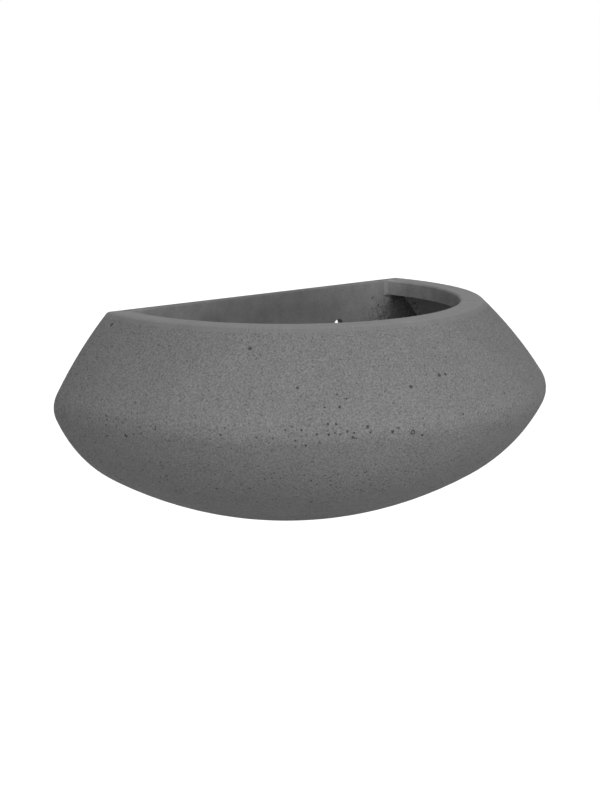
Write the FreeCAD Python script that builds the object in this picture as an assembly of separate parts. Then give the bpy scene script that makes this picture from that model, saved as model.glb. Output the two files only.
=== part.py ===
import FreeCAD, Part
import math
import os

# Half-round wall planter: a bellied bowl, cut by the wall plane a little behind its
# axis and closed there by a flat back plate that hangs on two screws.
# Millimetres. The wall is the plane Y = 0, the bowl bulges towards -Y, +Z is up.
# The origin is midway between the two hanging holes, on the wall plane.

# Outline of the bowl, as a radius and a height
HEIGHT = 163.0            # base to rim
RIM_R = 150.3             # outside of the rim, before its edge is rounded
FLANK_R = 300.0           # slow curve of the upper side
BELLY_R = 200.0           # widest radius
BELLY_HEIGHT = 96.3       # height of the widest place above the base
BELLY_ARC = 19.0          # rounding of the belly
BELLY_TURN = 26.6         # degrees that the belly arc runs on below its widest place
SIDE_TURN = 58.8          # degrees at which the lower side gives way to the ball-shaped underside
BASE_R = 53.5             # flat that is ground on the underside
RIM_ROUND = 4.0           # outer edge of the rim

# Walls
AXIS_OUT = 32.5           # the bowl's axis stands this far in front of the wall
WALL = 8.5                # shell
BACK_T = 6.5              # back plate
BACK_ROUND = 1.8          # top edge of the back, on the wall side
EDGE_BREAK = 1.2          # inner edge of the rim, all round

# Thickened lip inside the rim
LIP_R = 133.5             # bore of the lip
LIP_H = 12.0              # height of its inner face
LIP_DRAFT = 1.0           # the face opens by this much towards its lower edge

# Hanging holes in the back plate
HOLE_SPACING = 157.0
HOLE_R = 5.0
HOLE_BELOW_RIM = 32.0

# Strips of laminate that bond the plate to the shell, on the inside
LAMINATE_T = 1.8
PLATE_LEG = 24.0          # width of the strip on the plate
SHELL_LEG = 9.0           # how far it laps on to the shell
LAMINATE_GAP = 0.2        # below the lip, and between one strip and the next

# Fillet of joint mortar in the two upper corners, between lip and plate
BEAD = 2.6

# Drain hole and its rubber plug
DRAIN_R = 10.0
PLUG_CLEARANCE = 0.06     # radial, round the stem
PLUG_FLANGE_R = 15.0
PLUG_FLANGE_T = 3.0
PLUG_RECESS = 1.0         # the stem ends this far above the underside
PLUG_BARB = 0.6           # a sealing barb stands out this far from the stem
PLUG_BARBS = 2
PLUG_GRIP_R = 4.0
PLUG_GRIP_H = 7.0

RIM_Z = HOLE_BELOW_RIM
BASE_Z = RIM_Z - HEIGHT
BELLY_Z = BASE_Z + BELLY_HEIGHT
LIP_Z = RIM_Z - LIP_H
FLOOR_Z = BASE_Z + WALL
AXIS = FreeCAD.Vector(0, -AXIS_OUT, 0)
UP = FreeCAD.Vector(0, 0, 1)
BEYOND = 3 * BELLY_R      # larger than the whole object
PAST = 1.0                # a cutter runs this far past the face that it opens


def on_section(radius, z):
    """A point of the outline, drawn in the plane through the bowl's axis."""
    return FreeCAD.Vector(radius, -AXIS_OUT, z)


def meeting_point(centre_a, reach_a, centre_b, reach_b):
    """The point at both reaches, on the side of the bowl's axis."""
    span = centre_b - centre_a
    along = (reach_a ** 2 - reach_b ** 2 + span.Length ** 2) / (2 * span.Length)
    aside = math.sqrt(reach_a ** 2 - along ** 2)
    direction = span / span.Length
    foot = centre_a + direction * along
    normal = FreeCAD.Vector(direction.z, 0, -direction.x)
    return min((foot + normal * aside, foot - normal * aside), key=lambda point: point.x)


def outward(turn):
    """Direction out of the outline, this many degrees below level."""
    angle = math.radians(turn)
    return FreeCAD.Vector(math.cos(angle), 0, -math.sin(angle))


def line(start, end):
    return Part.LineSegment(start, end).toShape()


def arc(centre, radius, start, end):
    """The shorter arc about a centre, from one point to another."""
    middle = (start + end) * 0.5 - centre
    crown = centre + middle * (radius / middle.Length)
    return Part.Arc(start, crown, end).toShape()


def closed_line(corners):
    return [line(start, end) for start, end in zip(corners, corners[1:] + corners[:1])]


def revolved(edges):
    """The section turned once round the axis, with its seam behind the wall plane."""
    face = Part.Face(Part.Wire(edges))
    face.rotate(AXIS, UP, 90)
    return face.revolve(AXIS, UP, 360)


def box_between(low, high):
    size = high - low
    return Part.makeBox(size.x, size.y, size.z, low)


def in_front_of(y):
    """Everything on the room side of a plane parallel to the wall."""
    low = FreeCAD.Vector(-BEYOND, -BEYOND, -BEYOND)
    return box_between(low, FreeCAD.Vector(BEYOND, y, BEYOND))


def slab(front_y, back_y):
    low = FreeCAD.Vector(-BEYOND, front_y, -BEYOND)
    return box_between(low, FreeCAD.Vector(BEYOND, back_y, BEYOND))


BELLY_CENTRE = on_section(BELLY_R - BELLY_ARC, BELLY_Z)
FLANK_CENTRE = meeting_point(BELLY_CENTRE, FLANK_R - BELLY_ARC, on_section(RIM_R, RIM_Z), FLANK_R)


def flank_radius_at(z, depth):
    """Radius of the upper side at a height, the given depth inside the outer face."""
    rise = z - FLANK_CENTRE.z
    return FLANK_CENTRE.x + math.sqrt((FLANK_R - depth) ** 2 - rise ** 2)


def underside():
    """Centre and radius of the arc that leads on from the belly, and of the ball it runs into.

    The ball has its centre on the axis, touches the arc where that ends, and is cut
    off by the base at BASE_R. So its reach and the height of its centre both change
    evenly with the arc's radius, and reach ** 2 - height ** 2 = BASE_R ** 2 gives it.
    """
    belly_end = BELLY_CENTRE + outward(BELLY_TURN) * BELLY_ARC
    first = outward(BELLY_TURN)
    last = outward(SIDE_TURN)
    steepness = -last.z / last.x
    reach = belly_end.x / last.x
    reach_change = 1 - first.x / last.x
    height = belly_end.z - BASE_Z + belly_end.x * steepness
    height_change = -first.z - first.x * steepness
    squared = reach_change ** 2 - height_change ** 2
    linear = 2 * (reach * reach_change - height * height_change)
    constant = reach ** 2 - height ** 2 - BASE_R ** 2
    side_r = (math.sqrt(linear ** 2 - 4 * squared * constant) - linear) / (2 * squared)
    ball_centre = on_section(0, BASE_Z + height + height_change * side_r)
    return belly_end - first * side_r, side_r, ball_centre, reach + reach_change * side_r


def rim_arc(top_z, depth, radius):
    """Start, end and centre of the round between the upper side and a level top."""
    rise = top_z - radius - FLANK_CENTRE.z
    reach = FLANK_R - depth - radius
    centre = on_section(FLANK_CENTRE.x + math.sqrt(reach ** 2 - rise ** 2), top_z - radius)
    start = centre + (centre - FLANK_CENTRE).normalize() * radius
    return start, centre + UP * radius, centre


def bowl_body(depth, top_z, edge_round=0.0):
    """The bowl filled solid up to a height, the given depth inside its outer face.

    Every arc of the outline keeps its centre at any depth, so the wall between two
    depths is equally thick all over.
    """
    side_centre, side_r, ball_centre, ball_r = underside()
    flank_start = BELLY_CENTRE + (BELLY_CENTRE - FLANK_CENTRE).normalize() * (BELLY_ARC - depth)
    belly_start = BELLY_CENTRE + outward(BELLY_TURN) * (BELLY_ARC - depth)
    side_start = side_centre + (side_centre - ball_centre).normalize() * (side_r - depth)
    bottom = BASE_Z + depth
    bottom_r = math.sqrt((ball_r - depth) ** 2 - (ball_centre.z - bottom) ** 2)
    edges = [line(on_section(0, bottom), on_section(bottom_r, bottom)),
             arc(ball_centre, ball_r - depth, on_section(bottom_r, bottom), side_start),
             arc(side_centre, side_r - depth, side_start, belly_start),
             arc(BELLY_CENTRE, BELLY_ARC - depth, belly_start, flank_start)]
    top = on_section(flank_radius_at(top_z, depth), top_z)
    if edge_round:
        round_start, top, round_centre = rim_arc(top_z, depth, edge_round)
        edges.append(arc(FLANK_CENTRE, FLANK_R - depth, flank_start, round_start))
        edges.append(arc(round_centre, edge_round, round_start, top))
    else:
        edges.append(arc(FLANK_CENTRE, FLANK_R - depth, flank_start, top))
    edges.append(line(top, on_section(0, top_z)))
    edges.append(line(on_section(0, top_z), on_section(0, bottom)))
    return revolved(edges)


def lip_bore():
    """The mouth of the bowl: slightly conical, with its upper edge broken."""
    slope = LIP_DRAFT / LIP_H
    corners = [on_section(0, LIP_Z),
               on_section(LIP_R + LIP_DRAFT, LIP_Z),
               on_section(LIP_R + slope * EDGE_BREAK, RIM_Z - EDGE_BREAK),
               on_section(LIP_R + EDGE_BREAK, RIM_Z),
               on_section(0, RIM_Z)]
    return revolved(closed_line(corners))


def long_edge_round(y, towards, radius):
    """What is cut away to round a straight top edge that runs along X at the given Y."""
    corner = FreeCAD.Vector(-BEYOND, min(y, y + towards * radius), RIM_Z - radius)
    block = Part.makeBox(2 * BEYOND, radius, radius + PAST, corner)
    centre = FreeCAD.Vector(-BEYOND, y + towards * radius, RIM_Z - radius)
    return block.cut(Part.makeCylinder(radius, 2 * BEYOND, centre, FreeCAD.Vector(1, 0, 0)))


def drain_hole():
    centre = on_section(0, BASE_Z - PAST)
    return Part.makeCylinder(DRAIN_R, WALL + 2 * PAST, centre, UP)


def plate_room():
    """The room that the back plate fills: the whole back opening of the shell."""
    return bowl_body(WALL, RIM_Z).common(slab(-BACK_T, 0))


def front_shell():
    shell = bowl_body(0, RIM_Z, RIM_ROUND).common(in_front_of(0))
    shell = shell.cut(bowl_body(WALL, LIP_Z))
    shell = shell.cut(lip_bore())
    shell = shell.cut(plate_room())
    shell = shell.cut(long_edge_round(0, -1, BACK_ROUND))
    return shell.cut(drain_hole())


def back_plate():
    plate = plate_room()
    plate = plate.cut(long_edge_round(0, -1, BACK_ROUND))
    plate = plate.cut(long_edge_round(-BACK_T, 1, EDGE_BREAK))
    for side in (-1, 1):
        start = FreeCAD.Vector(side * HOLE_SPACING / 2, PAST, 0)
        hole = Part.makeCylinder(HOLE_R, BACK_T + 2 * PAST, start, FreeCAD.Vector(0, -1, 0))
        plate = plate.cut(hole)
    return plate


def plate_leg():
    """Band of laminate on the plate, along the whole corner with the shell."""
    open_top = RIM_Z + PLATE_LEG
    cross = bowl_body(WALL, open_top).slice(FreeCAD.Vector(0, 1, 0), -BACK_T)
    face = Part.Face(cross[0])
    band = face.cut(face.makeOffset2D(-PLATE_LEG))
    return band.Faces[0].extrude(FreeCAD.Vector(0, -LAMINATE_T, 0)).toNurbs()


def shell_leg():
    """Band of laminate on the shell, along the same corner."""
    band = bowl_body(WALL, RIM_Z).cut(bowl_body(WALL + LAMINATE_T, RIM_Z + PAST))
    return band.common(slab(-BACK_T - SHELL_LEG, -BACK_T))


def joint_strips():
    """Two strips from under the lip to the belly, and one round the lower curve."""
    whole = plate_leg().fuse(shell_leg())
    side = FreeCAD.Vector(BEYOND, 0, 0)
    low = FreeCAD.Vector(0, -BEYOND, BELLY_Z + LAMINATE_GAP)
    high = FreeCAD.Vector(BEYOND, 0, LIP_Z - LAMINATE_GAP)
    right = whole.common(box_between(low, high))
    left = whole.common(box_between(low - side, high - side))
    below = box_between(FreeCAD.Vector(-BEYOND, -BEYOND, -BEYOND), FreeCAD.Vector(BEYOND, 0, BELLY_Z))
    return left, right, whole.common(below)


def corner_bead(side):
    """Mortar fillet between the end of the lip and the plate, in one upper corner."""
    lip_y = -BACK_T
    along = AXIS_OUT - BACK_T
    corner_x = math.sqrt(LIP_R ** 2 - along ** 2)
    block = box_between(FreeCAD.Vector(corner_x - BEAD, lip_y - BEAD, LIP_Z),
                        FreeCAD.Vector(corner_x + BEAD, lip_y, RIM_Z - EDGE_BREAK))
    hollow_at = FreeCAD.Vector(corner_x - BEAD, lip_y - BEAD, LIP_Z - PAST)
    hollow = Part.makeCylinder(BEAD, LIP_H + 2 * PAST, hollow_at, UP)
    bead = block.cut(hollow).common(lip_bore())
    if side < 0:
        bead = bead.mirror(FreeCAD.Vector(0, 0, 0), FreeCAD.Vector(1, 0, 0))
    return bead


def drain_plug():
    """Rubber stopper: a flange on the floor, a barbed stem in the hole and a grip to pull.

    Each barb is wide at its top, so that the stem goes in more easily than it comes out.
    """
    stem_r = DRAIN_R - PLUG_CLEARANCE
    core_r = stem_r - PLUG_BARB
    stem_low = BASE_Z + PLUG_RECESS
    pitch = (FLOOR_Z - stem_low) / PLUG_BARBS
    flange_top = FLOOR_Z + PLUG_FLANGE_T
    corners = [on_section(0, stem_low), on_section(core_r, stem_low)]
    for number in range(PLUG_BARBS):
        barb_top = stem_low + (number + 0.5) * pitch
        corners.append(on_section(stem_r, barb_top))
        corners.append(on_section(core_r, barb_top))
    corners.append(on_section(core_r, FLOOR_Z))
    corners.append(on_section(PLUG_FLANGE_R, FLOOR_Z))
    corners.append(on_section(PLUG_FLANGE_R, flange_top))
    corners.append(on_section(PLUG_GRIP_R, flange_top))
    corners.append(on_section(PLUG_GRIP_R, flange_top + PLUG_GRIP_H))
    corners.append(on_section(0, flange_top + PLUG_GRIP_H))
    return revolved(closed_line(corners))


def export(name, pieces):
    """Write one node: a single solid, or a group of solids of the same kind."""
    solids = pieces.Solids
    shape = solids[0] if len(solids) == 1 else Part.makeCompound(solids)
    shape.exportStep(os.path.join("parts", name + ".step"))
    box = shape.BoundBox
    print(name, len(shape.Solids), shape.isValid(), round(shape.Volume), box)


os.makedirs("parts", exist_ok=True)
left_strip, right_strip, base_strip = joint_strips()
export("front_shell", front_shell())
export("back_plate", back_plate())
export("joint_strip_left", left_strip)
export("joint_strip_right", right_strip)
export("joint_strip_base", base_strip)
export("corner_beads", Part.makeCompound([corner_bead(-1), corner_bead(1)]))
export("drain_plug", drain_plug())
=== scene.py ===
import math

import bmesh
import bpy
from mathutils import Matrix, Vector, noise
from mathutils.bvhtree import BVHTree


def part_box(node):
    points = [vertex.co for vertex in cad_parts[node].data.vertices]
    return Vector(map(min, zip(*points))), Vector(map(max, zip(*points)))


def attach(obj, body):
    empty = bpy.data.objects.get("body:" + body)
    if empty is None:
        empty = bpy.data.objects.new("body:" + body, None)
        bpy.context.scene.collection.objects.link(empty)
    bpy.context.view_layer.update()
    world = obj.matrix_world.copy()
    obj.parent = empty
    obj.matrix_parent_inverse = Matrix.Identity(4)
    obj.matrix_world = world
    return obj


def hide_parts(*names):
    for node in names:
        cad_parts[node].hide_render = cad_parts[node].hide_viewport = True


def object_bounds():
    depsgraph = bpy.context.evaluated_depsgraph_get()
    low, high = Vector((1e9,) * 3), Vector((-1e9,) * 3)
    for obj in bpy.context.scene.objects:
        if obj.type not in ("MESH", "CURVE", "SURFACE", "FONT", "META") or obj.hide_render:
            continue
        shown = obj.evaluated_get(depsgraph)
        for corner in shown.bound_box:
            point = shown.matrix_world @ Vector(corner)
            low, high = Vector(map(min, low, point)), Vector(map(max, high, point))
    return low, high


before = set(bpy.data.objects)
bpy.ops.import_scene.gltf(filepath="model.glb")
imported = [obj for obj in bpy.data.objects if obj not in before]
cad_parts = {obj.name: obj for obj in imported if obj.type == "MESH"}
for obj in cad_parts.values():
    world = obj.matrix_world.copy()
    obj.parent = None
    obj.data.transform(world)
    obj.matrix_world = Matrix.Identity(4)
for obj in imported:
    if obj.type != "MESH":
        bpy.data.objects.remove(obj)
CAD_LOW, CAD_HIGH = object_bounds()

MM = 0.001
FLOAT = "NodeSocketFloat"
VECTOR = "NodeSocketVector"

# Camera, at the photograph's angle
VIEW_AZIMUTH = math.radians(-41.457)
VIEW_ELEVATION = math.radians(10.352)
VIEW_DISTANCE = 1.8
VIEW_TARGET = Vector((0, -0.1162, -0.0495))
VIEW_SHIFT_RIGHT = -0.04486
VIEW_SHIFT_UP = 0.0129
LENS_MM = 108.08
SENSOR_MM = 36.0
PHOTO_WIDE = 600
PHOTO_HIGH = 800

# Studio: the planter hangs free, far above a pale floor
FLOOR_Z = -2.3
FLOOR_SIZE = 60.0
FLOOR_TONE = 0.26
WORLD_TOP = 0.495
WORLD_SIDE = 0.435
WORLD_BOTTOM = 0.358
LAMP_DISTANCE = 2.6
LAMP_SIZE = 1.6
# Each lamp's name, azimuth and elevation in degrees, and watts
LAMPS = (
    ("key_lamp", -10, 35, 17.5),
    ("low_lamp", -32, -12, 21.5),
    ("fill_lamp", -41, 5, 9.5),
    ("side_lamp", 48, -8, 5.5),
    ("wall_side_lamp", 180, -20, 9.0),
)

# The planter's heights and faces, from the frame
RIM_TOP = CAD_HIGH.z
LIP_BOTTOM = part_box("corner_beads")[0].z
WIDEST_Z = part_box("joint_strip_base")[1].z
BASE_Z = CAD_LOW.z
PLATE_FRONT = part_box("back_plate")[0].y

# The bowl is turned about an upright axis: it stands out as far in front of it as to each side
AXIS_OUT = -CAD_LOW.y - CAD_HIGH.x

# Level bands of the shell, each from its lowest to its highest height
RIM_BAND = (RIM_TOP - 4.2 * MM, RIM_TOP + 20 * MM)
BELLY_BAND = (-50 * MM, -25 * MM)
LOWER_BAND = (-104 * MM, -56 * MM)
FOOT_BAND = (BASE_Z - 40 * MM, BASE_Z + 22 * MM)

# Rubbed rim: fine marks across it, by how many there are to a radian, and their tones
MARKS_PER_RADIAN = 110.0
MARK_TONES = (0.93, 1.13)
MARKED_PATCH = 30 * MM

# Inside: where the lip ends, where its painted light changes towards the plate, and how plain it is
LIP_EDGE = 1.5 * MM
LIP_TO_PLATE = (-75 * MM, -10 * MM)
INSIDE_PLAINER = 0.6
INSIDE_SPECKS = 0.4

# Paler tone on the plate towards its upper corners: where it starts and where it is full, to each side
# and upwards
PALER_ASIDE = (25 * MM, 125 * MM)
PALER_UP = (-30 * MM, 0.0)

# Resin stain on the plate: how far from the shell it is full and how far it reaches, and the
# heights between which it draws in and ends
STAIN_FULL = 17 * MM
STAIN_REACH = 42 * MM
STAIN_DRAWN_IN = 18 * MM
STAIN_DRAWN_FROM = 2 * MM
STAIN_TOP = (LIP_BOTTOM + 2 * MM, LIP_BOTTOM - 9 * MM)

# Laminate: how its strips feather out over the plate and the shell
LAMINATE_ON_PLATE = 24 * MM
LAMINATE_ON_SHELL = 9 * MM
LAMINATE_LUMPS = 0.6 * MM
LAMINATE_LUMP_SIZE = 3.2 * MM
LAMINATE_DRAWN_IN = 0.7
LAMINATE_THINNEST = 0.03
FULL_ON_PLATE = 0.25
FULL_ON_SHELL = 0.2
BARE_AT_CORNER = 0.35
BARE_RISE = 3.0
SHELL_TONE_RISE = 4.0

# Mortar bead: how far it is wiped out over the lip, as a share of its full width
BEAD_ON_LIP = 0.35
BEAD_THINNEST = 0.05 * MM
BEAD_LUMPS = 0.35 * MM
BEAD_LUMP_SIZE = 2.5 * MM

# Meshes: the spacing of the cuts that give a piece points to shape
LAMINATE_GRID = 2.2 * MM
PLATE_GRID = 5.0 * MM
BEAD_GRID = 0.7 * MM
MERGE = 0.002 * MM
SHARP_ANGLE = math.radians(38)

# The way a surface faces: where a mask of it starts, and where it is full
FLAT_FACING = (0.7, 0.95)
FLOOR_FACING = (0.1, 0.3)
AXIS_FACING = (-0.03, -0.05)
ROOM_FACING = (-0.3, -0.6)

# Noise: the values that it mostly keeps between, and those where strands, dust and bare stone show
NOISE_SPREAD = (0.25, 0.75)
MARK_SPREAD = (0.3, 0.7)
STRAND_SPREAD = (0.56, 0.66)
DUST_SPREAD = (1.05, 1.45)
BARE_SPREAD = (0.55, 1.0)
CLUMP_EDGE = 0.06
WAVE_SCALE = 90.0
FIBRE_SCALE = 420.0
FIBRE_TWIST = 1.6

# Air holes, as shares of their radius: where they are fully deep, and the ring of the filled one
HOLE_CORE = 0.55
SMALLEST_HOLE = 0.5
RING_AT = 0.8
RING_HALF_WIDTH = 0.32
RING_CORE = 0.08

# The larger air holes that the photograph shows: across and down its 600 x 800 frame, and radius
SEEN_HOLES = (
    (336.9, 394.5, 0.9 * MM),
    (346.6, 398.6, 0.85 * MM),
    (339.6, 407.0, 1.35 * MM),
    (324.6, 407.3, 0.75 * MM),
    (327.8, 424.1, 1.0 * MM),
    (336.1, 424.2, 1.0 * MM),
    (301.5, 430.4, 0.9 * MM),
    (285.2, 430.0, 0.75 * MM),
    (316.7, 434.3, 1.0 * MM),
    (328.7, 434.8, 1.1 * MM),
    (339.8, 434.6, 0.8 * MM),
    (352.7, 437.5, 1.1 * MM),
    (356.4, 438.4, 0.7 * MM),
    (354.3, 433.0, 0.8 * MM),
    (370.4, 432.6, 0.9 * MM),
    (392.6, 431.8, 1.4 * MM),
    (422.3, 435.3, 1.1 * MM),
    (295.3, 440.8, 0.9 * MM),
    (305.6, 445.7, 0.9 * MM),
    (310.8, 480.7, 0.9 * MM),
    (330.4, 485.1, 0.85 * MM),
    (383.7, 484.6, 1.0 * MM),
    (360.6, 490.1, 0.9 * MM),
)
RING_HOLE = (412.8, 432.4, 1.75 * MM)

# Tones, as plain linear greys
STONE = 0.211
PLATE = 0.205
MORTAR = 0.38
LAMINATE = 0.12
RUBBER = 0.018

# How many times lighter a place is than the tone round it
# Painted bounce light: the bowl's inside below the lip, and its lip, more so towards the plate
INSIDE_PAINTED_LIGHT = 1.85
LIP_PAINTED_LIGHT = 1.2
LIP_PAINTED_LIGHT_BY_PLATE = 1.7
# Painted light on the rim's flat top, as if from above
RIM_TOP_PAINTED_LIGHT = 1.3
RUBBED_LIGHTER = 1.05
CORNERS_LIGHTER = 1.45
FLECK_LIGHTER = 1.4
# Fibre strands, painted lighter partly as highlights on the glossy resin
STRAND_AND_GLINT_LIGHTER = 2.1
DUST_LIGHTER = 2.6

# How much of its tone a place loses, as painted shade: low on the outside, and in holes and pits
FOOT_PAINTED_SHADE = 0.16
# Painted shade in the stone's air holes
SPECK_PAINTED_SHADE = 0.44
PINHOLE_PAINTED_SHADE = 0.5
LOW_HOLE_PAINTED_SHADE = 0.55
HOLE_PAINTED_SHADE = 0.62
# Painted shade in the plate's pits
PLATE_SPECK_PAINTED_SHADE = 0.45
# Painted shade in the mortar's holes
MORTAR_HOLE_PAINTED_SHADE = 0.6

# Relief, in millimetres
FINE_RELIEF = 0.22
RUBBED_RELIEF = 0.06
COARSE_RELIEF = 0.25
SPECK_DEPTH = 0.08
PINHOLE_DEPTH = 0.35
LOW_HOLE_DEPTH = 0.3
HOLE_DEPTH = 0.7
PLATE_FINE_RELIEF = 0.08
PLATE_COARSE_RELIEF = 0.3
PLATE_SPECK_DEPTH = 0.25
LAMINATE_RELIEF = 0.35
STRAND_RELIEF = 0.2
MORTAR_FINE_RELIEF = 0.2
MORTAR_COARSE_RELIEF = 0.5
MORTAR_HOLE_DEPTH = 0.3
RUBBER_RELIEF = 0.05

# Roughness
STONE_ROUGH = 0.86
RUBBED_ROUGH = 0.72
PLATE_ROUGH = 0.84
STAIN_ROUGH = 0.55
LAMINATE_ROUGH = 0.5
BARE_ROUGH = 0.8
MORTAR_ROUGH = 0.85
MORTAR_HOLE_ROUGH = 0.95
RUBBER_ROUGH = 0.55
DUST_ROUGH = 0.8

# How much light a surface mirrors
STONE_SPECULAR = 0.1
LAMINATE_SPECULAR = 0.5
RUBBER_SPECULAR = 0.25


# ---------------------------------------------------------------- camera and studio

def look_axes(azimuth, elevation):
    """Right, up and back of a camera that looks at the part from an azimuth and elevation."""
    back = Vector((math.sin(azimuth) * math.cos(elevation),
                   -math.cos(azimuth) * math.cos(elevation),
                   math.sin(elevation)))
    right = Vector((math.cos(azimuth), math.sin(azimuth), 0))
    return right, back.cross(right), back


def camera_place():
    """Where the camera stands, and its right, up and back."""
    right, up, back = look_axes(VIEW_AZIMUTH, VIEW_ELEVATION)
    centre = VIEW_TARGET + right * VIEW_SHIFT_RIGHT + up * VIEW_SHIFT_UP
    return centre + back * VIEW_DISTANCE, right, up, back


def stand(name, data, place, back):
    """Stand a camera or a lamp at a place, with its back away from what it looks at."""
    made = bpy.data.objects.new(name, data)
    bpy.context.scene.collection.objects.link(made)
    made.location = place
    made.rotation_euler = back.to_track_quat("Z", "Y").to_euler()
    return made


def add_camera():
    """The camera, at the photograph's angle."""
    data = bpy.data.cameras.new("camera")
    data.lens = LENS_MM
    data.sensor_width = SENSOR_MM
    place, _, _, back = camera_place()
    bpy.context.scene.camera = stand("camera", data, place, back)


def add_lamp(name, azimuth, elevation, watts):
    """A soft square lamp that points at the part."""
    data = bpy.data.lights.new(name, "AREA")
    data.size = LAMP_SIZE
    data.energy = watts
    back = look_axes(math.radians(azimuth), math.radians(elevation))[2]
    stand(name, data, VIEW_TARGET + back * LAMP_DISTANCE, back)


def seen_plainly(tree):
    """One for the rays that see the background itself, or see it in a mirror or through glass."""
    path = put(tree, "ShaderNodeLightPath").outputs
    glossy = calc(tree, "MAXIMUM", path["Is Camera Ray"], path["Is Glossy Ray"])
    return calc(tree, "MAXIMUM", glossy, path["Is Transmission Ray"])


def add_world():
    """White to the camera; for the part a soft fill, a little stronger from above."""
    world = bpy.data.worlds.new("studio")
    world.use_nodes = True
    bpy.context.scene.world = world
    tree = world.node_tree
    height = along(tree, put(tree, "ShaderNodeTexCoord").outputs["Generated"], "Z")
    above = remap(tree, height, 0.0, 1.0, 0.0, WORLD_TOP - WORLD_SIDE)
    below = remap(tree, height, 0.0, -1.0, WORLD_SIDE, WORLD_BOTTOM)
    level = blend(tree, seen_plainly(tree), off=total(tree, above, below), on=1.0)
    background = tree.nodes["Background"]
    background.inputs["Color"].default_value = (1, 1, 1, 1)
    tree.links.new(level, background.inputs["Strength"])


def add_floor():
    """A pale floor that shows white and still takes the planter's shadow."""
    material, tree, shader = new_material("pale_floor")
    shader.inputs["Base Color"].default_value = (FLOOR_TONE, FLOOR_TONE, FLOOR_TONE, 1)
    shader.inputs["Roughness"].default_value = 1.0
    shader.inputs["Specular IOR Level"].default_value = 0.0
    shader.inputs["Emission Color"].default_value = (1, 1, 1, 1)
    tree.links.new(seen_plainly(tree), shader.inputs["Emission Strength"])
    shape = bmesh.new()
    bmesh.ops.create_grid(shape, x_segments=1, y_segments=1, size=FLOOR_SIZE / 2)
    bmesh.ops.translate(shape, verts=shape.verts, vec=(0, 0, FLOOR_Z))
    mesh = bpy.data.meshes.new("floor")
    shape.to_mesh(mesh)
    shape.free()
    mesh.materials.append(material)
    floor = bpy.data.objects.new("floor", mesh)
    bpy.context.scene.collection.objects.link(floor)


# ---------------------------------------------------------------- node helpers

def put(tree, kind, inputs=None, **settings):
    """Add a node; its inputs are plain numbers or the outputs of other nodes."""
    made = tree.nodes.new(kind)
    for setting, value in settings.items():
        setattr(made, setting, value)
    for socket, value in (inputs or {}).items():
        if isinstance(value, bpy.types.NodeSocket):
            tree.links.new(value, made.inputs[socket])
        else:
            made.inputs[socket].default_value = value
    return made


def calc(tree, operation, first, second=0.0):
    """One sum on two values."""
    return put(tree, "ShaderNodeMath", {0: first, 1: second}, operation=operation).outputs[0]


def product(tree, *factors):
    """Several values multiplied."""
    result = factors[0]
    for factor in factors[1:]:
        result = calc(tree, "MULTIPLY", result, factor)
    return result


def total(tree, *terms):
    """Several values added up."""
    result = terms[0]
    for term in terms[1:]:
        result = calc(tree, "ADD", result, term)
    return result


def remap(tree, value, low, high, to_low=0.0, to_high=1.0, kind="LINEAR"):
    """A value carried from one range to another, and held within it."""
    inputs = {"Value": value, "From Min": low, "From Max": high, "To Min": to_low, "To Max": to_high}
    return put(tree, "ShaderNodeMapRange", inputs, interpolation_type=kind).outputs["Result"]


def blend(tree, mask, off, on):
    """One value where the mask is nought, another where it is one."""
    return remap(tree, mask, 0.0, 1.0, off, on)


def opposite(tree, mask):
    """One where the mask is nought, and nought where it is one."""
    return calc(tree, "SUBTRACT", 1.0, mask)


def darkened(tree, mask, depth):
    """A factor that is one outside the mask and one less the depth inside it."""
    return blend(tree, mask, off=1.0, on=1.0 - depth)


def along(tree, vector, axis):
    """A vector's length along X, Y or Z."""
    return put(tree, "ShaderNodeSeparateXYZ", {"Vector": vector}).outputs[axis]


def object_place(tree):
    """The point on the piece, in the planter's own frame."""
    return put(tree, "ShaderNodeTexCoord").outputs["Object"]


def surface_normal(tree):
    """The way that the surface faces, in the planter's own frame."""
    return put(tree, "ShaderNodeTexCoord").outputs["Normal"]


def from_bowl_axis(tree, place):
    """The way to a point from the upright axis that the bowl is turned about."""
    return put(tree, "ShaderNodeVectorMath", {0: place, 1: (0, AXIS_OUT, 0)},
               operation="ADD").outputs[0]


def named_value(tree, name):
    """A value that the piece's own mesh holds at each of its points."""
    return put(tree, "ShaderNodeAttribute", attribute_name=name).outputs["Fac"]


def new_material(name):
    """A material, its tree and its shader."""
    material = bpy.data.materials.new(name)
    material.use_nodes = True
    tree = material.node_tree
    return material, tree, tree.nodes["Principled BSDF"]


def new_group(name, inputs, outputs):
    """A shader node group, with what it is given and what it puts out."""
    tree = bpy.data.node_groups.new(name, "ShaderNodeTree")
    for title, kind in inputs.items():
        tree.interface.new_socket(title, in_out="INPUT", socket_type=kind)
    for title in outputs:
        tree.interface.new_socket(title, in_out="OUTPUT", socket_type=FLOAT)
    given = tree.nodes.new("NodeGroupInput").outputs
    result = tree.nodes.new("NodeGroupOutput").inputs
    return tree, given, result


# ---------------------------------------------------------------- shared effects, as node groups

def make_grain():
    """An uneven grain: a tone about one, and a height from nought to one."""
    tree, given, result = new_group("grain", {"Place": VECTOR, "Size": FLOAT, "Contrast": FLOAT},
                                    ("Tone", "Height"))
    scale = calc(tree, "DIVIDE", 1.0, given["Size"])
    cloud = put(tree, "ShaderNodeTexNoise",
                {"Vector": given["Place"], "Scale": scale, "Detail": 2.0, "Roughness": 0.6}).outputs[0]
    darkest = calc(tree, "SUBTRACT", 1.0, given["Contrast"])
    lightest = calc(tree, "ADD", 1.0, given["Contrast"])
    tone = remap(tree, cloud, *NOISE_SPREAD, darkest, lightest)
    tree.links.new(tone, result["Tone"])
    tree.links.new(cloud, result["Height"])
    return tree


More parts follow.
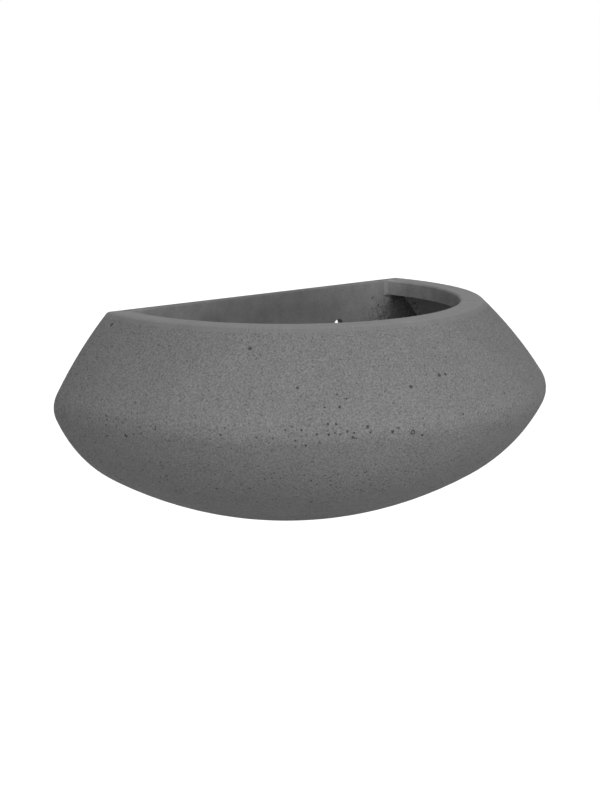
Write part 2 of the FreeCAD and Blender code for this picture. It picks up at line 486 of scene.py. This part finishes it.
def make_pits():
    """Round air holes of uneven size, strewn at random: a mask that is one inside them."""
    tree, given, result = new_group(
        "pits", {"Place": VECTOR, "Spacing": FLOAT, "Radius": FLOAT, "Share": FLOAT}, ("Mask",))
    scale = calc(tree, "DIVIDE", 1.0, given["Spacing"])
    cells = put(tree, "ShaderNodeTexVoronoi", {"Vector": given["Place"], "Scale": scale}).outputs
    lot = put(tree, "ShaderNodeSeparateColor", {"Color": cells["Color"]}).outputs
    distance = product(tree, cells["Distance"], given["Spacing"])
    radius = product(tree, given["Radius"], blend(tree, lot["Green"], off=SMALLEST_HOLE, on=1.0))
    core = product(tree, radius, HOLE_CORE)
    inside = remap(tree, distance, radius, core, kind="SMOOTHSTEP")
    chosen = calc(tree, "LESS_THAN", lot["Red"], given["Share"])
    tree.links.new(product(tree, inside, chosen), result["Mask"])
    return tree


def make_one_hole():
    """A single round hole at a given centre: a mask of its inside, and one of its edge."""
    tree, given, result = new_group("one_hole", {"Place": VECTOR, "Centre": VECTOR, "Radius": FLOAT},
                                    ("Mask", "Edge"))
    distance = put(tree, "ShaderNodeVectorMath", {0: given["Place"], 1: given["Centre"]},
                   operation="DISTANCE").outputs["Value"]
    share = calc(tree, "DIVIDE", distance, given["Radius"])
    tree.links.new(remap(tree, share, 1.0, HOLE_CORE, kind="SMOOTHSTEP"), result["Mask"])
    off_edge = calc(tree, "ABSOLUTE", calc(tree, "SUBTRACT", share, RING_AT))
    edge = remap(tree, off_edge, RING_HALF_WIDTH, RING_CORE, kind="SMOOTHSTEP")
    tree.links.new(edge, result["Edge"])
    return tree


def make_level_band():
    """A mask that is one between two heights, with soft, wandering edges."""
    tree, given, result = new_group(
        "level_band",
        {"Place": VECTOR, "Low": FLOAT, "High": FLOAT, "Soft": FLOAT, "Wander": FLOAT}, ("Mask",))
    wave = put(tree, "ShaderNodeTexNoise",
               {"Vector": given["Place"], "Scale": WAVE_SCALE, "Detail": 2.0}).outputs[0]
    shift = product(tree, calc(tree, "SUBTRACT", wave, 0.5), given["Wander"])
    level = total(tree, along(tree, given["Place"], "Z"), shift)
    over_low = total(tree, given["Low"], given["Soft"])
    under_high = calc(tree, "SUBTRACT", given["High"], given["Soft"])
    rising = remap(tree, level, given["Low"], over_low, kind="SMOOTHSTEP")
    falling = remap(tree, level, given["High"], under_high, kind="SMOOTHSTEP")
    tree.links.new(product(tree, rising, falling), result["Mask"])
    return tree


GRAIN = make_grain()
PITS = make_pits()
ONE_HOLE = make_one_hole()
LEVEL_BAND = make_level_band()


def use(tree, group, **inputs):
    """Place a group in a material and return its outputs."""
    return put(tree, "ShaderNodeGroup", inputs, node_tree=group).outputs


def grain(tree, place, size, contrast):
    """The uneven grain, at a size and contrast."""
    return use(tree, GRAIN, Place=place, Size=size, Contrast=contrast)


def pits(tree, place, spacing, radius, share):
    """A mask of strewn air holes, in a share of the cells of a spacing."""
    return use(tree, PITS, Place=place, Spacing=spacing, Radius=radius, Share=share)["Mask"]


def level_band(tree, place, heights, soft, wander):
    """A mask of a band between two heights."""
    low, high = heights
    return use(tree, LEVEL_BAND, Place=place, Low=low, High=high, Soft=soft, Wander=wander)["Mask"]


def clumps(tree, place, size, threshold):
    """Patches where holes or marks come together."""
    cloud = put(tree, "ShaderNodeTexNoise", {"Vector": place, "Scale": 1 / size, "Detail": 0.0})
    return remap(tree, cloud.outputs[0], threshold, threshold + CLUMP_EDGE)


def finish_surface(tree, shader, tone, height_mm, roughness, specular=STONE_SPECULAR):
    """Feed a grey tone, a height in millimetres and a roughness to the shader."""
    colour = put(tree, "ShaderNodeCombineColor", {"Red": tone, "Green": tone, "Blue": tone})
    tree.links.new(colour.outputs["Color"], shader.inputs["Base Color"])
    bump = put(tree, "ShaderNodeBump", {"Height": height_mm, "Strength": 1.0, "Distance": MM})
    tree.links.new(bump.outputs["Normal"], shader.inputs["Normal"])
    tree.links.new(roughness, shader.inputs["Roughness"])
    shader.inputs["Specular IOR Level"].default_value = specular


# ---------------------------------------------------------------- cast stone of the shell

def shell_surface(top=math.inf):
    """The shell's faces below a height, to find the nearest one or the one that a ray meets."""
    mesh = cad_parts["front_shell"].data
    faces = [tuple(face.vertices) for face in mesh.polygons if face.center.z < top]
    return BVHTree.FromPolygons([point.co for point in mesh.vertices], faces)


def seen_point(shell, across, down):
    """The point of the shell that the camera sees at a place in the photograph's frame."""
    eye, right, up, back = camera_place()
    aside = right * (across - PHOTO_WIDE / 2) - up * (down - PHOTO_HIGH / 2)
    reach = LENS_MM / SENSOR_MM * PHOTO_HIGH
    return shell.ray_cast(eye, aside / reach - back)[0]


def seen_holes(tree, place):
    """A mask of the larger holes where the photograph shows them, one of them only a ring."""
    shell = shell_surface()
    across, down, radius = RING_HOLE
    point = seen_point(shell, across, down)
    mask = use(tree, ONE_HOLE, Place=place, Centre=point, Radius=radius)["Edge"]
    for across, down, radius in SEEN_HOLES:
        point = seen_point(shell, across, down)
        hole = use(tree, ONE_HOLE, Place=place, Centre=point, Radius=radius)["Mask"]
        mask = calc(tree, "MAXIMUM", mask, hole)
    return mask


def facing_inward(tree, place):
    """A mask of the bowl's inside: the faces that look towards its axis, and its floor."""
    level = put(tree, "ShaderNodeVectorMath", {0: from_bowl_axis(tree, place), 1: (1, 1, 0)},
                operation="MULTIPLY").outputs[0]
    normal = surface_normal(tree)
    facing = put(tree, "ShaderNodeVectorMath", {0: level, 1: normal},
                 operation="DOT_PRODUCT").outputs["Value"]
    walls = remap(tree, facing, *AXIS_FACING)
    low = calc(tree, "LESS_THAN", along(tree, place, "Z"), WIDEST_Z)
    floor = product(tree, low, remap(tree, along(tree, normal, "Z"), *FLOOR_FACING))
    return calc(tree, "MAXIMUM", walls, floor)


def rub_marks(tree, place):
    """The tone of the rubbed rim: patches of fine marks that run across it."""
    from_axis = from_bowl_axis(tree, place)
    turn = calc(tree, "ARCTAN2", along(tree, from_axis, "X"), along(tree, from_axis, "Y"))
    marks = put(tree, "ShaderNodeTexNoise", {"W": turn, "Scale": MARKS_PER_RADIAN, "Detail": 2.0},
                noise_dimensions="1D").outputs[0]
    marked = remap(tree, marks, *MARK_SPREAD, *MARK_TONES)
    patches = clumps(tree, place, size=MARKED_PATCH, threshold=0.48)
    return blend(tree, patches, off=RUBBED_LIGHTER, on=marked)


def rubbed(tree, place, rim, grain_tone):
    """The grain's tone with the rim's fine marks, and painted light that makes its flat top paler."""
    marked = blend(tree, rim, off=grain_tone, on=rub_marks(tree, place))
    flat = remap(tree, along(tree, surface_normal(tree), "Z"), *FLAT_FACING)
    rim_top_lit = product(tree, rim, flat)
    return product(tree, marked, blend(tree, rim_top_lit, off=1.0, on=RIM_TOP_PAINTED_LIGHT))


def painted_inside_light(tree, place):
    """How much lighter painted bounce light makes the inside: even below the lip, cloudy on the lip
    itself.
    """
    below_lip = remap(tree, along(tree, place, "Z"), LIP_BOTTOM, LIP_BOTTOM - LIP_EDGE)
    lip = remap(tree, along(tree, place, "Y"), *LIP_TO_PLATE, LIP_PAINTED_LIGHT, LIP_PAINTED_LIGHT_BY_PLATE)
    cloudy_lip = product(tree, lip, grain(tree, place, size=16 * MM, contrast=0.16)["Tone"])
    return blend(tree, below_lip, off=cloudy_lip, on=INSIDE_PAINTED_LIGHT)


def air_holes(tree, place, rim, inside):
    """The stone's air holes, by kind: a mask, how much painted shade darkens them, and their depth in
    mm.
    """
    body = opposite(tree, rim)
    outside = opposite(tree, inside)
    belly = level_band(tree, place, BELLY_BAND, soft=6 * MM, wander=8 * MM)
    lower = level_band(tree, place, LOWER_BAND, soft=12 * MM, wander=8 * MM)
    small_clumps = clumps(tree, place, size=11 * MM, threshold=0.46)
    large_clumps = clumps(tree, place, size=26 * MM, threshold=0.6)

    specks = pits(tree, place, spacing=2.9 * MM, radius=0.85 * MM, share=0.7)
    specks = product(tree, specks, body, blend(tree, inside, off=1.0, on=INSIDE_SPECKS))
    pinholes = pits(tree, place, spacing=3.9 * MM, radius=1.25 * MM, share=0.5)
    pinholes = product(tree, pinholes, belly, small_clumps, outside)
    low_holes = pits(tree, place, spacing=3.8 * MM, radius=1.15 * MM, share=0.6)
    low_holes = product(tree, low_holes, lower, outside)
    holes = pits(tree, place, spacing=8.5 * MM, radius=1.8 * MM, share=0.6)
    holes = product(tree, holes, large_clumps, body, outside)
    holes = calc(tree, "MAXIMUM", holes, seen_holes(tree, place))
    return (
        (specks, SPECK_PAINTED_SHADE, SPECK_DEPTH),
        (pinholes, PINHOLE_PAINTED_SHADE, PINHOLE_DEPTH),
        (low_holes, LOW_HOLE_PAINTED_SHADE, LOW_HOLE_DEPTH),
        (holes, HOLE_PAINTED_SHADE, HOLE_DEPTH),
    )


def cast_stone():
    """Fine grey cast stone: mottled, with air holes round the belly and a rubbed rim."""
    material, tree, shader = new_material("cast_stone")
    place = object_place(tree)
    fine = grain(tree, place, size=1.35 * MM, contrast=0.34)
    coarse = grain(tree, place, size=7.0 * MM, contrast=0.06)
    cloud = grain(tree, place, size=55.0 * MM, contrast=0.04)
    rim = level_band(tree, place, RIM_BAND, soft=1.0 * MM, wander=2.4 * MM)
    foot = level_band(tree, place, FOOT_BAND, soft=14 * MM, wander=6 * MM)
    inside = facing_inward(tree, place)
    # painted shade low on the outside, towards the foot
    shaded_low_outside = product(tree, foot, opposite(tree, inside))
    flecks = pits(tree, place, spacing=11.5 * MM, radius=0.8 * MM, share=0.3)
    flecks = product(tree, flecks, opposite(tree, rim))

    # rim marks, and painted light on the rim's flat top
    fine_tone = rubbed(tree, place, rim, fine["Tone"])
    fine_tone = blend(tree, product(tree, inside, INSIDE_PLAINER), off=fine_tone, on=1.0)
    tone = product(tree, fine_tone, coarse["Tone"], cloud["Tone"], STONE,
                   # painted bounce light inside the bowl and on its lip
                   blend(tree, inside, off=1.0, on=painted_inside_light(tree, place)),
                   darkened(tree, shaded_low_outside, FOOT_PAINTED_SHADE),
                   blend(tree, flecks, off=1.0, on=FLECK_LIGHTER))
    fine_relief = blend(tree, rim, off=FINE_RELIEF, on=RUBBED_RELIEF)
    height = total(tree, product(tree, fine["Height"], fine_relief),
                   product(tree, coarse["Height"], COARSE_RELIEF))
    # the air holes take painted shade as well as their dent
    for mask, painted_shade, depth_mm in air_holes(tree, place, rim, inside):
        tone = product(tree, tone, darkened(tree, mask, painted_shade))
        height = total(tree, height, product(tree, mask, -depth_mm))
    roughness = blend(tree, rim, off=STONE_ROUGH, on=RUBBED_ROUGH)
    finish_surface(tree, shader, tone, height, roughness)
    return material


# ---------------------------------------------------------------- the other materials

def facing_room(tree):
    """A mask that is one on the faces that look away from the wall."""
    return remap(tree, along(tree, surface_normal(tree), "Y"), *ROOM_FACING)


def paler_upper_corners(tree, place):
    """A paler, cloudy tone on the plate's room side, towards its upper corners."""
    aside = calc(tree, "ABSOLUTE", along(tree, place, "X"))
    outward = remap(tree, aside, *PALER_ASIDE, kind="SMOOTHSTEP")
    upward = remap(tree, along(tree, place, "Z"), *PALER_UP, kind="SMOOTHSTEP")
    pale_patch = product(tree, outward, upward, facing_room(tree))
    cloud = grain(tree, place, size=14 * MM, contrast=0.12)["Tone"]
    return product(tree, blend(tree, pale_patch, off=1.0, on=CORNERS_LIGHTER), cloud)


def stain_mask(tree, place):
    """How dark the resin is, from one near the shell to nought on the bare plate."""
    broad = grain(tree, place, size=8.0 * MM, contrast=0.3)["Tone"]
    strands = grain(tree, place, size=2.2 * MM, contrast=0.6)["Tone"]
    height = along(tree, place, "Z")
    drawn_in = remap(tree, height, STAIN_DRAWN_FROM, LIP_BOTTOM, 0.0, STAIN_DRAWN_IN)
    uneven = product(tree, named_value(tree, "from_wall"), product(tree, broad, strands))
    near = remap(tree, total(tree, uneven, drawn_in), STAIN_REACH, STAIN_FULL, kind="SMOOTHSTEP")
    under_lip = remap(tree, height, *STAIN_TOP, kind="SMOOTHSTEP")
    return product(tree, near, under_lip, facing_room(tree))


def plate_surface(tree, place):
    """The plate's tone, its height in millimetres, and where resin stains it."""
    fine = grain(tree, place, size=1.5 * MM, contrast=0.09)
    coarse = grain(tree, place, size=12.0 * MM, contrast=0.05)
    specks = pits(tree, place, spacing=10.0 * MM, radius=0.95 * MM, share=0.4)
    stain = stain_mask(tree, place)
    # the plate's pits take painted shade
    clean = product(tree, fine["Tone"], coarse["Tone"], paler_upper_corners(tree, place), PLATE,
                    darkened(tree, specks, PLATE_SPECK_PAINTED_SHADE))
    tone = blend(tree, stain, off=clean, on=product(tree, fine["Tone"], LAMINATE))
    height = total(tree, product(tree, fine["Height"], PLATE_FINE_RELIEF),
                   product(tree, coarse["Height"], PLATE_COARSE_RELIEF),
                   product(tree, specks, -PLATE_SPECK_DEPTH))
    return tone, height, stain


def plate_stone():
    """The smoother stone of the plate, stained by resin beside the laminate."""
    material, tree, shader = new_material("plate_stone")
    tone, height, stain = plate_surface(tree, object_place(tree))
    roughness = blend(tree, stain, off=PLATE_ROUGH, on=STAIN_ROUGH)
    finish_surface(tree, shader, tone, height, roughness)
    return material


def lit_shell_inside_tone(tree, place):
    """The uneven tone of the shell's inside, lightened by painted bounce light, where the laminate
    ends on it.
    """
    fine = grain(tree, place, size=1.35 * MM, contrast=0.2)["Tone"]
    coarse = grain(tree, place, size=7.0 * MM, contrast=0.06)["Tone"]
    return product(tree, fine, coarse, STONE * INSIDE_PAINTED_LIGHT)


def laminate():
    """Dark resin and glass fibre, lumpy and a little glossy, thin and grey at its edges."""
    material, tree, shader = new_material("laminate")
    place = object_place(tree)
    fine = grain(tree, place, size=1.2 * MM, contrast=0.45)
    coarse = grain(tree, place, size=5.0 * MM, contrast=0.3)
    lay = {"Vector": place, "Scale": FIBRE_SCALE, "Detail": 1.0, "Distortion": FIBRE_TWIST}
    fibres = put(tree, "ShaderNodeTexNoise", lay).outputs[0]
    strands = remap(tree, fibres, *STRAND_SPREAD)
    # lighter fibre strands, partly a painted highlight on the glossy resin
    dark = product(tree, fine["Tone"], coarse["Tone"], LAMINATE,
                   blend(tree, strands, off=1.0, on=STRAND_AND_GLINT_LIGHTER))

    edge = grain(tree, place, size=3.0 * MM, contrast=0.5)["Tone"]
    uneven_bare = product(tree, named_value(tree, "bare"), edge)
    bare = remap(tree, uneven_bare, *BARE_SPREAD, kind="SMOOTHSTEP")
    plate_tone = plate_surface(tree, place)[0]
    under = blend(tree, named_value(tree, "on_shell"), off=plate_tone, on=lit_shell_inside_tone(tree, place))

    tone = blend(tree, bare, off=dark, on=under)
    height = total(tree, product(tree, fine["Height"], LAMINATE_RELIEF),
                   product(tree, strands, STRAND_RELIEF))
    roughness = blend(tree, bare, off=LAMINATE_ROUGH, on=BARE_ROUGH)
    finish_surface(tree, shader, tone, height, roughness, specular=LAMINATE_SPECULAR)
    return material


def joint_mortar():
    """Paler mortar, wiped into the corner by hand."""
    material, tree, shader = new_material("joint_mortar")
    place = object_place(tree)
    fine = grain(tree, place, size=1.4 * MM, contrast=0.14)
    coarse = grain(tree, place, size=4.0 * MM, contrast=0.12)
    holes = pits(tree, place, spacing=5.0 * MM, radius=0.8 * MM, share=0.4)
    # the mortar's holes take painted shade
    tone = product(tree, fine["Tone"], coarse["Tone"], MORTAR,
                   darkened(tree, holes, MORTAR_HOLE_PAINTED_SHADE))
    height = total(tree, product(tree, fine["Height"], MORTAR_FINE_RELIEF),
                   product(tree, coarse["Height"], MORTAR_COARSE_RELIEF),
                   product(tree, holes, -MORTAR_HOLE_DEPTH))
    roughness = blend(tree, holes, off=MORTAR_ROUGH, on=MORTAR_HOLE_ROUGH)
    finish_surface(tree, shader, tone, height, roughness)
    return material


def rubber():
    """Black rubber with a moulded matt skin and a little stone dust."""
    material, tree, shader = new_material("rubber")
    place = object_place(tree)
    skin = grain(tree, place, size=0.9 * MM, contrast=0.12)
    dust = grain(tree, place, size=6.0 * MM, contrast=0.5)["Tone"]
    pale_patch = remap(tree, dust, *DUST_SPREAD)
    tone = product(tree, skin["Tone"], blend(tree, pale_patch, off=RUBBER, on=RUBBER * DUST_LIGHTER))
    height = product(tree, skin["Height"], RUBBER_RELIEF)
    roughness = blend(tree, pale_patch, off=RUBBER_ROUGH, on=DUST_ROUGH)
    finish_surface(tree, shader, tone, height, roughness, specular=RUBBER_SPECULAR)
    return material


# ---------------------------------------------------------------- pieces

def dress(node, material):
    """Give a part of the frame a better material."""
    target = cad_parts[node]
    if not target.material_slots:
        target.data.materials.append(material)
    for one in target.material_slots:
        one.material = material


def copy_of(node):
    """A copy of a part of the frame, with its loose triangles merged."""
    shape = bmesh.new()
    shape.from_mesh(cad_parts[node].data)
    bmesh.ops.remove_doubles(shape, verts=shape.verts, dist=MERGE)
    return shape


def cut_in_steps(shape, axis, step):
    """Cut a shape by evenly spaced planes, so that it has points to shape."""
    places = [point.co[axis] for point in shape.verts]
    low, high = min(places), max(places)
    direction = Vector((0, 0, 0))
    direction[axis] = 1
    for count in range(1, math.ceil((high - low) / step)):
        geometry = shape.verts[:] + shape.edges[:] + shape.faces[:]
        bmesh.ops.bisect_plane(shape, geom=geometry, dist=MERGE / 10,
                               plane_co=direction * (low + count * step), plane_no=direction)


def smooth_step(value):
    """An even rise from nought to one, level at both ends."""
    value = min(max(value, 0.0), 1.0)
    return value * value * (3 - 2 * value)


def thinned_by(reach, full):
    """A strip's share of its thickness: one until it is full, then falling to nought at its edge."""
    return 1 - smooth_step((reach - full) / (1 - full))


def finished(shape, name, node, material):
    """Turn a shape into a piece of the planter that stands for a part of the frame."""
    mesh = bpy.data.meshes.new(name)
    shape.to_mesh(mesh)
    shape.free()
    mesh.materials.append(material)
    mesh.shade_smooth()
    mesh.set_sharp_from_angle(angle=SHARP_ANGLE)
    piece = bpy.data.objects.new(name, mesh)
    bpy.context.scene.collection.objects.link(piece)
    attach(piece, "planter")
    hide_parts(node)


def add_beads(material):
    """The mortar beads in the upper corners, wiped thin over the lip and a little lumpy."""
    shape = copy_of("corner_beads")
    for axis in range(3):
        cut_in_steps(shape, axis, BEAD_GRID)
    for point in shape.verts:
        depth = PLATE_FRONT - point.co.y
        lump = noise.noise(point.co / BEAD_LUMP_SIZE) * BEAD_LUMPS
        if depth > MERGE:
            depth = max(depth * BEAD_ON_LIP + lump * min(1.0, depth / BEAD_LUMPS), BEAD_THINNEST)
        point.co.y = PLATE_FRONT - depth
    finished(shape, "wiped_beads", "corner_beads", material)


def add_plate(wall, material):
    """The back plate, which knows at each point how far the shell is."""
    shape = copy_of("back_plate")
    cut_in_steps(shape, 0, PLATE_GRID)
    cut_in_steps(shape, 2, PLATE_GRID)
    from_wall = shape.verts.layers.float.new("from_wall")
    for point in shape.verts:
        point[from_wall] = wall.find_nearest(point.co)[3]
    finished(shape, "back_wall", "back_plate", material)


def feather(point, wall):
    """A point's place in the feathered strip, how bare it is there, and how far on the shell."""
    on_wall, _, _, from_wall = wall.find_nearest(point)
    from_plate = PLATE_FRONT - point.y
    lump = noise.noise(point / LAMINATE_LUMP_SIZE) * LAMINATE_LUMPS
    if from_wall > from_plate:
        drawn_in = 1 + max(0.0, point.z / LIP_BOTTOM) * LAMINATE_DRAWN_IN
        reach = min(1.0, from_wall / LAMINATE_ON_PLATE * drawn_in)
        thinned = thinned_by(reach, FULL_ON_PLATE)
        if from_plate > LAMINATE_LUMPS:
            thinned = max(thinned * (1 + lump / from_plate), LAMINATE_THINNEST)
        return Vector((point.x, PLATE_FRONT - from_plate * thinned, point.z)), reach, 0.0
    reach = from_plate / LAMINATE_ON_SHELL
    thinned = thinned_by(reach, FULL_ON_SHELL)
    if from_wall > LAMINATE_LUMPS:
        thinned = max(thinned + lump / from_wall, LAMINATE_THINNEST)
    bare = min(1.0, BARE_AT_CORNER + reach * BARE_RISE)
    return on_wall + (point - on_wall) * thinned, bare, min(1.0, reach * SHELL_TONE_RISE)


def add_strip(node, wall, material):
    """One strip of laminate in the corner, laid by hand and feathered out."""
    shape = copy_of(node)
    for axis in range(3):
        cut_in_steps(shape, axis, LAMINATE_GRID)
    bare = shape.verts.layers.float.new("bare")
    on_shell = shape.verts.layers.float.new("on_shell")
    from_wall = shape.verts.layers.float.new("from_wall")
    for point in shape.verts:
        point[from_wall] = wall.find_nearest(point.co)[3]
        point.co, point[bare], point[on_shell] = feather(point.co.copy(), wall)
    finished(shape, node.replace("joint_strip", "laid_strip"), node, material)


bpy.context.scene.view_settings.view_transform = "Standard"
add_camera()
add_world()
add_floor()
for name, azimuth, elevation, watts in LAMPS:
    add_lamp(name, azimuth, elevation, watts)

dress("front_shell", cast_stone())
add_beads(joint_mortar())
dress("drain_plug", rubber())
inner_wall = shell_surface(top=LIP_BOTTOM - MERGE)
add_plate(inner_wall, plate_stone())
laid_laminate = laminate()
for side in ("left", "right", "base"):
    add_strip("joint_strip_" + side, inner_wall, laid_laminate)
